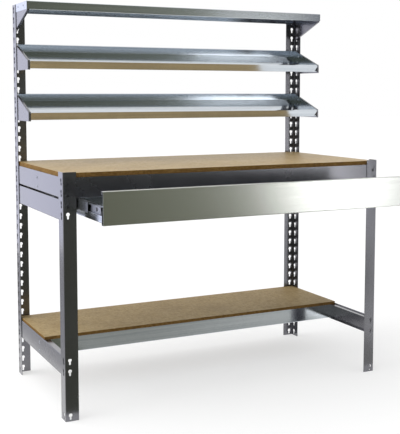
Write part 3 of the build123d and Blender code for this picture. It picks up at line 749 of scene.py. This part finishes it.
# Uprights
@dataclass(kw_only=True)
class KeyholedUpright(Piece):
    """Angle upright made of equal cells, each one pitch of its punched keyholes high."""

    work: ClassVar[str] = "punched"
    cells: ClassVar[tuple[str, ...]] = ("Plain cell", "Holed cell", "First cell", "Last cell")
    # A face whose normal leans less than this through the sheet is a wall
    wall_lean: ClassVar[float] = 0.5

    side: Side
    row: Row
    holes: tuple[int, ...]
    flange: float = 47 * MM
    sheet: float = 2 * MM
    bend: float = 3 * MM
    pitch: float = 38.1 * MM
    first: float = 21 * MM
    column: float = 17.5 * MM
    entry: float = 6.5 * MM
    slit: float = 3.2 * MM
    drop: float = 13 * MM
    burr: float = 0.35 * MM
    burr_steps: int = 2
    entry_steps: int = 18
    slit_steps: int = 8
    bend_steps: int = 6

    def plate(self, shape: BMesh, height: float, holed: bool, across: int) -> None:
        """Add one flange of a cell.

        Args:
            shape: Shape that gets the flange.
            height: Height of the cell.
            holed: Whether it has a keyhole.
            across: Number of the axis along the flange's width, 0 or 1.
        """
        through = 1 - across
        loops = [[(self.bend, 0), (self.flange, 0), (self.flange, height), (self.bend, height)]]
        if holed:
            right, down, meet = 2 * math.pi, 3 * math.pi / 2, math.asin(self.slit / self.entry)
            entry = arc((self.column, self.first), self.entry, down + meet - right, down - meet, self.entry_steps)
            slit_end = (self.column, self.first - self.drop)
            loops.append(entry + arc(slit_end, self.slit, math.pi, right, self.slit_steps))
        part = bmesh.new()
        edges = []
        for loop in loops:
            corners = [part.verts.new((0, u, v) if across else (u, 0, v)) for u, v in loop]
            edges += [part.edges.new(pair) for pair in zip(corners, corners[1:] + corners[:1])]
        filled = bmesh.ops.triangle_fill(part, edges=edges, use_beauty=True)
        front = [item for item in filled["geom"] if isinstance(item, BMFace)]
        back = bmesh.ops.extrude_face_region(part, geom=front, use_keep_orig=True)
        moved = [item for item in back["geom"] if isinstance(item, BMVert)]
        bmesh.ops.translate(part, verts=moved, vec=(self.sheet, 0, 0) if across else (0, self.sheet, 0))
        # At a rim the hole's wall meets a face of the sheet
        rims = [
            edge for edge in part.edges
            if sum(abs(face.normal[through]) < self.wall_lean for face in edge.link_faces) == 1
            and all(abs(end.co[across] - self.column) < self.entry + SAME_POINT for end in edge.verts)
        ]
        if rims:
            bmesh.ops.recalc_face_normals(part, faces=part.faces)
            bmesh.ops.bevel(part, geom=rims, offset=self.burr, segments=self.burr_steps, **ROUND)
        mesh = as_mesh(part, "part")
        shape.from_mesh(mesh)
        bpy.data.meshes.remove(mesh)

    def cell(self, height: float, holed: bool, bottom: bool = False, top: bool = False) -> Object:
        """Build one cell with its corner at the origin.

        Args:
            height: Its height.
            holed: Whether it has keyholes.
            bottom: Whether the upright ends below it.
            top: Whether the upright ends above it.

        Returns:
            An object to copy up the upright.
        """
        shape = bmesh.new()
        self.plate(shape, height, holed, 0)
        self.plate(shape, height, holed, 1)
        inside = self.bend - self.sheet
        rails = []
        for radius, z in ((self.bend, 0), (self.bend, height), (inside, height), (inside, 0)):
            fold = arc((self.bend, self.bend), radius, -math.pi / 2, -math.pi, self.bend_steps)
            rails.append([shape.verts.new((x, y, z)) for x, y in fold])
        rings = list(zip(*rails))
        for ring, following in zip(rings, rings[1:]):
            join_rings(shape, ring, following)
        bmesh.ops.remove_doubles(shape, verts=shape.verts, dist=SAME_POINT)
        inner = []
        for face in shape.faces:
            places = [vertex.co for vertex in face.verts]
            below = not bottom and all(place.z < SAME_POINT for place in places)
            above = not top and all(place.z > height - SAME_POINT for place in places)
            at_fold = any(
                all(abs(place[k] - self.bend) < SAME_POINT > place[1 - k] - self.sheet for place in places)
                for k in (0, 1)
            )
            if below or above or at_fold:
                inner.append(face)
        bmesh.ops.delete(shape, geom=inner, context="FACES")
        return new_object("cell", as_mesh(shape, "cell"))

    @classmethod
    @cache
    def tree(cls) -> NodeTree:
        """Build the tree that stacks plain and holed cells.

        Returns:
            The geometry tree, shared by all uprights.
        """
        tree, sizes = geometry_tree("stacked_cells", {
            **dict.fromkeys(cls.cells, "Object"), "Weld distance": "Float", "Finish": "Material",
        })
        wanted = add_node(tree, "GeometryNodeInputNamedAttribute", {"Name": "cell_kind"}, data_type="INT")
        joined = add_node(tree, "GeometryNodeJoinGeometry")
        for number, label in enumerate(cls.cells):
            source = add_node(tree, "GeometryNodeObjectInfo", {"Object": sizes[label]}).outputs["Geometry"]
            chosen = add_node(tree, "FunctionNodeCompare", {2: wanted, 3: number}, data_type="INT", operation="EQUAL")
            connect(tree, joined, (add_node(tree, "GeometryNodeInstanceOnPoints", {
                "Points": sizes["Geometry"], "Selection": chosen, "Instance": source,
            }),))
        real = add_node(tree, "GeometryNodeRealizeInstances", {"Geometry": joined})
        weld = {"Geometry": real, "Distance": sizes["Weld distance"]}
        welded = add_node(tree, "GeometryNodeMergeByDistance", weld)
        dressed = add_node(tree, "GeometryNodeSetMaterial", {"Geometry": welded, "Material": sizes["Finish"]})
        add_node(tree, "NodeGroupOutput", (dressed,))
        return tree

    def mesh(self) -> tuple[Mesh, str]:
        """Stack the cells as high as the CAD node is and turn them into its corner.

        Returns:
            The mesh and the number of cells.
        """
        low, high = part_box(self.node)
        height = high.z - low.z
        full = int(height // self.pitch)
        made = [
            self.cell(self.pitch, False), self.cell(self.pitch, True),
            self.cell(self.pitch, 0 in self.holes, bottom=True),
            self.cell(height - full * self.pitch, full in self.holes, top=True),
        ]
        plain, holed, first, last = range(len(made))
        kinds = [first] + [holed if index in self.holes else plain for index in range(1, full)] + [last]
        seed = bpy.data.meshes.new(self.node)
        seed.from_pydata([(0, 0, index * self.pitch) for index in range(full + 1)], [], [])
        seed.attributes.new("cell_kind", "INT", "POINT").data.foreach_set("value", kinds)
        values = {**dict(zip(self.cells, made)), "Weld distance": SAME_POINT, "Finish": self.finish}
        mesh = grown_mesh(self.tree(), seed, values)
        for cell in made:
            bpy.data.objects.remove(cell)
        x = low.x if self.side is Side.LEFT else high.x
        y = low.y if self.row is Row.FRONT else high.y
        flip = Matrix.Diagonal((-self.side.value, -self.row.value, 1, 1))
        mesh.transform(Matrix.Translation((x, y, low.z)) @ flip)
        shape = bmesh.new()
        shape.from_mesh(mesh)
        return finish_mesh(shape, self.node, self.finish), f"{full + 1} cells"


# Boards
@dataclass(kw_only=True)
class ChipboardSheet(Piece):
    """Sawn board with softly broken edges, its faces and its sawn edges finished apart."""

    work: ClassVar[str] = "sawn"

    edge_finish: Material
    broken_edge: float = 0.9 * MM
    edge_steps: int = 2
    # A face whose normal stands up more than this belongs to the sanded sides
    upright_share: float = 0.8

    def mesh(self) -> tuple[Mesh, str]:
        """Make the board in the size of its CAD node.

        Returns:
            The mesh and the board's width.
        """
        low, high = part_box(self.node)
        shape = bmesh.new()
        add_block(shape, low, high)
        bmesh.ops.bevel(shape, geom=shape.edges[:], offset=self.broken_edge, segments=self.edge_steps, **ROUND)
        for face in shape.faces:
            face.material_index = 0 if abs(face.normal.z) > self.upright_share else 1
        return finish_mesh(shape, self.node, self.finish, self.edge_finish), f"{(high.x - low.x) / MM:.0f} mm wide"


# Folded parts
@dataclass
class HemmedSteel(Piece):
    """Folded sheet part whose hems and folds are rounded over, as a press brake leaves them."""

    work: ClassVar[str] = "hemmed"

    tray: bool = False
    fold: float = 1.2 * MM
    steps: int = 3
    least_run: float = 60 * MM
    least_face: float = 2.8 * MM
    least_turn: float = math.radians(60)
    flat_turn: float = math.radians(0.5)
    tray_tilt: float = math.radians(20.5)
    opening: float = math.radians(4)
    wall_reach: float = 12 * MM

    def is_fold(self, edge: BMEdge) -> bool:
        """Whether a sharp edge is an outer fold and no cut edge of the sheet.

        Args:
            edge: Edge of the part.

        Returns:
            True for a long sharp edge between two broad faces.
        """
        if len(edge.link_faces) != 2 or edge.calc_length() < self.least_run or not edge.is_convex:
            return False
        start, way = edge.verts[0].co, (edge.verts[1].co - edge.verts[0].co).normalized()
        widths = [max((v.co - start).cross(way).length for v in face.verts) for face in edge.link_faces]
        return min(widths) > self.least_face and edge.calc_face_angle() > self.least_turn

    def spring_back(self, shape: BMesh) -> None:
        """Open a tilted tray's front and rear walls a little, as sheet springs back after folding.

        Args:
            shape: The tray, whose corners are moved.
        """
        ahead = Vector((0, -math.cos(self.tray_tilt), -math.sin(self.tray_tilt)))
        up = Vector((0, ahead.z, -ahead.y))
        places = [vertex.co.dot(ahead) for vertex in shape.verts]
        front, rear = max(places), min(places)
        base = min(vertex.co.dot(up) for vertex in shape.verts)
        for vertex, place in zip(shape.verts, places):
            lean = (vertex.co.dot(up) - base) * math.tan(self.opening)
            if front - place < self.wall_reach:
                vertex.co += ahead * lean
            elif place - rear < self.wall_reach:
                vertex.co -= ahead * lean

    def mesh(self) -> tuple[Mesh, str]:
        """Round the folds of the CAD node's own shape.

        Returns:
            The mesh and the number of folds.
        """
        shape = welded_copy(self.node)
        limits = {"angle_face_threshold": self.flat_turn, "angle_shape_threshold": math.pi}
        bmesh.ops.join_triangles(shape, faces=shape.faces, **limits)
        folds = [edge for edge in shape.edges if self.is_fold(edge)]
        bmesh.ops.bevel(shape, geom=folds, offset=self.fold, segments=self.steps, **ROUND)
        if self.tray:
            self.spring_back(shape)
        return finish_mesh(shape, self.node, self.finish), f"{len(folds)} folds rounded"


# Drawer front
@dataclass
class DrawerFront(Piece):
    """Drawer front folded from one sheet into a channel whose ends are open."""

    work: ClassVar[str] = "folded"

    sheet: float = 1 * MM
    edge: float = 2.5 * MM
    upper_lip: float = 12 * MM
    lower_lip: float = 45 * MM
    corner_steps: int = 5

    def mesh(self) -> tuple[Mesh, str]:
        """Draw the channel's section and pull it across the CAD node's width.

        Returns:
            The mesh and the front's width.
        """
        low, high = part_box(self.node)
        down, ahead, up = 3 * math.pi / 2, math.pi, math.pi / 2
        outer, inner = (
            arc((low.y + self.edge, low.z + self.edge), radius, down, ahead, self.corner_steps)
            + arc((low.y + self.edge, high.z - self.edge), radius, ahead, up, self.corner_steps)
            for radius in (self.edge, self.edge - self.sheet)
        )
        back, bottom, top = high.y - self.sheet, low.z + self.sheet, high.z - self.sheet
        lower_end, upper_end = low.z + self.lower_lip, high.z - self.upper_lip
        outline = [
            (high.y, lower_end), (high.y, low.z), *outer, (high.y, high.z), (high.y, upper_end),
            (back, upper_end), (back, top), *reversed(inner), (back, bottom), (back, lower_end),
        ]
        shape = bmesh.new()
        rings = [[shape.verts.new((x, y, z)) for y, z in outline] for x in (low.x, high.x)]
        for ring in rings:
            shape.faces.new(ring)
        join_rings(shape, *rings)
        return finish_mesh(shape, self.node, self.finish), f"{(high.x - low.x) / MM:.0f} mm wide"


# Slide end stops and release tabs, partly painted shade
@dataclass
class SlideStopsAndGapShade:
    """Black plastic end stop and release tab in the open side of a slide's inner member, where the slide shows a shaded
    gap at its front end and a shaded slot in its web, so their black is partly painted shade.
    """

    side: Side
    finish: Material
    wall: float = 1.6 * MM
    stop_length: float = 13 * MM
    clearance: float = 0.2 * MM
    sheet: float = 1.2 * MM
    tab_height: float = 13 * MM
    tab_width: float = 6 * MM
    tab_back: float = 56 * MM
    tab_rise: float = 1.4 * MM
    corner_steps: int = 8

    def build(self) -> None:
        """Build the end stop and release tab of one side, both partly painted shade."""
        low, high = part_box(self.side.of("slide_inner"))
        web, rim = (high.x, low.x) if self.side is Side.LEFT else (low.x, high.x)
        inset = self.sheet + self.clearance
        web += self.side.value * inset
        z0, z1 = low.z + inset, high.z - inset
        near, far = sorted((web, rim))
        front, back = low.y + self.clearance, low.y + self.stop_length
        inside = front + self.wall
        shape = bmesh.new()
        add_block(shape, Vector((near, front, z0)), Vector((far, inside, z1)))
        for base in (z0, z1 - self.wall):
            add_block(shape, Vector((near, inside, base)), Vector((far, back, base + self.wall)))
        middle = Vector((web, low.y + self.tab_back, (z0 + z1) / 2))
        radius = self.tab_width / 2
        reach = self.tab_height / 2 - radius
        rings = []
        outline = arc((0, reach), radius, 0, math.pi, self.corner_steps)
        outline += arc((0, -reach), radius, math.pi, 2 * math.pi, self.corner_steps)
        for rise in (0, self.side.value * self.tab_rise):
            rings.append([shape.verts.new(middle + Vector((rise, across, up))) for across, up in outline])
            shape.faces.new(rings[-1])
        join_rings(shape, *rings)
        name = self.side.of("slide_fittings")
        piece = new_object(name, finish_mesh(shape, name, self.finish))
        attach(piece, "drawer")
        log.info("%s: end stop and release tab", name)


# Carried-over parts
@dataclass
class DressedFrame:
    """CAD nodes whose own shape is shown, each given its finish."""

    finishes: Finishes
    across: tuple[str, ...] = ("drawer_inner_front", "drawer_back", "drawer_bottom")

    def dress(self) -> None:
        """Give every CAD node the finish of its slot."""
        own = self.finishes
        finish_of = {
            "anthracite_paint": own.paint, "painted_rivet": own.painted_rivet, "galvanised_steel": own.sheet,
            "zinc_rivet": own.zinc, "slide_steel": own.slide, "ball_steel": own.balls,
            "drawer_steel": own.deep_sheet, "drawer_front_steel": own.drawer_sheet,
            "chipboard": own.face, "shelf_chipboard": own.shelf_face,
        }
        for name, node in frame["nodes"].items():
            finish = own.sheet if name in self.across else finish_of[SLOT_OF[name]]
            if not node.data.materials:
                node.data.materials.append(finish)
            for place in node.material_slots:
                place.material = finish
        log.info("dressed %d CAD nodes", len(frame["nodes"]))


# Studio
@dataclass
class Studio:
    """Pale floor, white surroundings, soft lamps and the photograph's camera."""

    eye: Corner = (-1.5238, -3.0061, 1.1081)
    turn: float = 26.186
    tilt: float = 5.15
    lens: float = 73.9
    rise: float = -0.10
    floor_size: float = 60.0
    floor_color: str = "#b3b3b3"
    floor_lift: float = 0.58
    surround: float = 0.38
    flag_color: str = "#66685a"
    screen_color: str = "#8c8c92"
    dark_color: str = "#54545a"

    def seen_directly(self, tree: NodeTree) -> Node:
        """One for rays from the camera, from gloss or through glass, and zero for light that falls on things.

        Args:
            tree: Shader tree that gets the nodes.

        Returns:
            Node with that value.
        """
        path = add_node(tree, "ShaderNodeLightPath").outputs
        sharp = add_node(tree, "ShaderNodeMath", (path["Is Camera Ray"], path["Is Glossy Ray"]), operation="MAXIMUM")
        return add_node(tree, "ShaderNodeMath", (sharp, path["Is Transmission Ray"]), operation="MAXIMUM")

    def world(self) -> None:
        """Make the surroundings: white where seen, softer where they light."""
        world = bpy.data.worlds.new("white_studio")
        bpy.context.scene.world = world
        world.use_nodes = True
        tree = world.node_tree
        tree.nodes.clear()
        strength = add_node(tree, MAP_RANGE, (self.seen_directly(tree), 0.0, 1.0, self.surround, 1.0))
        light = add_node(tree, "ShaderNodeBackground", {"Color": WHITE, "Strength": strength})
        add_node(tree, "ShaderNodeOutputWorld", {"Surface": light})

    def floor(self) -> None:
        """Lay the pale floor, lifted to white where it is seen, with the bench's shadow kept."""
        material, tree, shader = new_material("pale_studio_floor", "ShaderNodeAddShader")
        matt = add_node(tree, "ShaderNodeBsdfDiffuse", {"Color": linear(self.floor_color)})
        lift = add_node(tree, MAP_RANGE, (self.seen_directly(tree), 0.0, 1.0, 0.0, self.floor_lift))
        glow = add_node(tree, "ShaderNodeEmission", {"Color": WHITE, "Strength": lift})
        connect(tree, shader, (matt, glow))
        shape = bmesh.new()
        bmesh.ops.create_grid(shape, x_segments=1, y_segments=1, size=self.floor_size / 2)
        mesh = as_mesh(shape, "floor")
        mesh.materials.append(material)
        new_object("floor", mesh)

    def cloth(
        self, name: str, corners: list[Corner], color: str, strength: float = 1.0,
        fade: tuple[str, float, float] | None = None,
    ) -> None:
        """Hang a cloth around the bench that only its gloss sees.

        Args:
            name: The cloth's name.
            corners: Its corners in turn.
            color: Its colour.
            strength: How bright it is lit.
            fade: Another colour that it turns into, and where along X that starts and ends.
        """
        material, tree, shader = new_material(name + "_cloth", "ShaderNodeEmission")
        shade = linear(color)
        if fade:
            place = add_node(tree, "ShaderNodeTexCoord").outputs["Object"]
            shade = painted(tree, color, (add_node(tree, "ShaderNodeSeparateXYZ", (place,)), *fade))
        connect(tree, shader, {"Color": shade, "Strength": strength})
        mesh = bpy.data.meshes.new(name)
        mesh.from_pydata(corners, [], [tuple(range(len(corners)))])
        mesh.materials.append(material)
        cloth = new_object(name, mesh)
        cloth.visible_camera = cloth.visible_diffuse = cloth.visible_shadow = False

    def cloths(self) -> None:
        """Hang dark flags, screens and a softbox before the bench and a window behind it on the left."""
        wall, left, right, top = -3.95, -3.0, 2.28, 4.2
        box_end, box_top, narrow_end, shoulder, rim = 3.3, 1.6, 3.1, 0.9, 1.72
        screen_end, screen_depth = 5.6, -3.0
        # Low is how high the cloths on the floor lie
        low, inner, outer, near, middle, cut = 0.004, -0.33, 0.9, -0.24, -0.75, -2.3
        behind, fade_start = 3.0, 0.4
        # Cloths in the plane of the front wall, by X and Z
        for name, outline, *looks in (
            ("dark_flag", rectangle(left, right, 0, top), self.flag_color, 1.0, ("#8c8e82", fade_start, right)),
            ("softbox", ((right, 0), (box_end, 0), (box_end, shoulder), (narrow_end, shoulder),
                         (narrow_end, box_top), (right, box_top)), "#ffffff", 3.2),
            ("upper_screen", ((right, box_top), (narrow_end, box_top), (narrow_end, rim), (box_end, rim),
                              (box_end, top), (right, top)), "#c4c4c0"),
            ("dark_end", rectangle(narrow_end, box_end, shoulder, rim), self.dark_color),
        ):
            self.cloth(name, [(x, wall, z) for x, z in outline], *looks)
        # Cloths on the floor, by X and Y
        for name, outline, *looks in (
            ("rear_floor_flag", rectangle(left=-4, right=-0.8, low=0.35, high=behind), "#b4b4ba"),
            # Dark cloth under the lower shelf: painted shade of the floor there, as the metal reflects it
            ("shelf_floor_flag", rectangle(left=-0.2, right=0.7, low=0.45, high=0.95), self.dark_color),
            ("floor_flag", ((left, near), (inner, near), (inner, middle), (outer, middle), (right, cut),
                            (right, wall), (left, wall)), self.flag_color),
            # Grey cloth before the bench under the drawer, paler towards its right: painted shade of the floor there,
            # as the metal reflects it
            ("under_flag", rectangle(inner, outer, middle, near), "#a2a29c", 1.0, ("#c6c6c2", 0.0, outer)),
        ):
            self.cloth(name, [(x, y, low) for x, y in outline], *looks)
        # Screens that stand slanted on the right, one above the other
        for name, bottom, head, color in (
            ("grey_screen", 0, shoulder, self.screen_color), ("dark_screen", shoulder, rim, self.dark_color),
            ("top_screen", rim, top, self.screen_color),
        ):
            self.cloth(name, [
                (box_end, wall, bottom), (screen_end, screen_depth, bottom), (screen_end, screen_depth, head),
                (box_end, wall, head),
            ], color)
        window = rectangle(left=-5.5, right=-1.2, low=0.05, high=3)
        self.cloth("window", [(x, behind, z) for x, z in window], "#e9ebff", 1.4)

    def lamps(self) -> None:
        """Hang a broad soft lamp high on the left, a weak one on the right and a low one in the left window."""
        # Name, strength, and the spread, lean and turn in degrees
        for name, strength, spread, lean, turn in (
            ("key", 2.1, 80, 38, -95), ("fill", 0.35, 90, 40, 40), ("window_light", 1.7, 40, 80, -90),
        ):
            lamp = bpy.data.lights.new(name, "SUN")
            lamp.energy = strength
            lamp.angle = math.radians(spread)
            holder = new_object(name, lamp)
            holder.rotation_euler = [math.radians(lean), 0, math.radians(turn)]
            holder.visible_glossy = False

    def camera(self) -> None:
        """Set the camera where the photograph was taken."""
        data = bpy.data.cameras.new("camera")
        data.lens = self.lens
        data.shift_y = self.rise
        holder = new_object("camera", data)
        holder.location = self.eye
        holder.rotation_euler = [math.radians(90 - self.tilt), 0, math.radians(-self.turn)]
        bpy.context.scene.camera = holder

    def build(self) -> None:
        """Set up the whole studio."""
        bpy.context.scene.view_settings.view_transform = "Standard"
        self.world()
        self.floor()
        self.cloths()
        self.lamps()
        self.camera()
        log.info("studio is set")


def main() -> None:
    """Build the bench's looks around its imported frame, one sub-assembly after another."""
    logging.basicConfig(level=logging.INFO, format="%(message)s")
    own = Finishes()
    DressedFrame(own).dress()
    for side in Side:
        for row, holes in ((Row.FRONT, FRONT_HOLES), (Row.REAR, REAR_HOLES)):
            node = side.of(row.name.lower() + "_upright")
            KeyholedUpright(node=node, finish=own.paint, side=side, row=row, holes=holes).build()
    for node, finish in (
        ("front_upright_rivets", own.painted_rivet), ("rear_upright_rivets", own.painted_rivet),
        ("bracket_rivets", own.painted_rivet), ("tie_rivets", own.slide), ("pan_screws", own.zinc),
        ("slide_rivets", own.zinc),
    ):
        for side in Side:
            HeadedPins(side.of(node), finish).build()
    for node in ("drawer_box_rivets", "drawer_front_screws", "inner_member_rivets"):
        HeadedPins(node, own.zinc, "drawer").build()
    for node, face in (("worktop_board", own.face), ("lower_shelf_board", own.shelf_face)):
        ChipboardSheet(node=node, finish=face, edge_finish=own.edge).build()
    beams = ["top_front_beam", "top_rear_beam", "lower_rear_beam"]
    beams += [side.of(level + "_side_beam") for level in ("top", "drawer", "lower") for side in Side]
    for node in beams:
        HemmedSteel(node, own.paint).build()
    for node in ("top_pan", "middle_tray", "bottom_tray"):
        HemmedSteel(node, own.sheet, tray=node != "top_pan").build()
    DrawerFront("drawer_front", own.drawer_sheet, "drawer").build()
    for side in Side:
        # Their black stop and tab stand partly for the shade in the slide's gaps: painted shade
        SlideStopsAndGapShade(side, own.plastic).build()
    Studio().build()


if __name__ == "__main__":
    main()
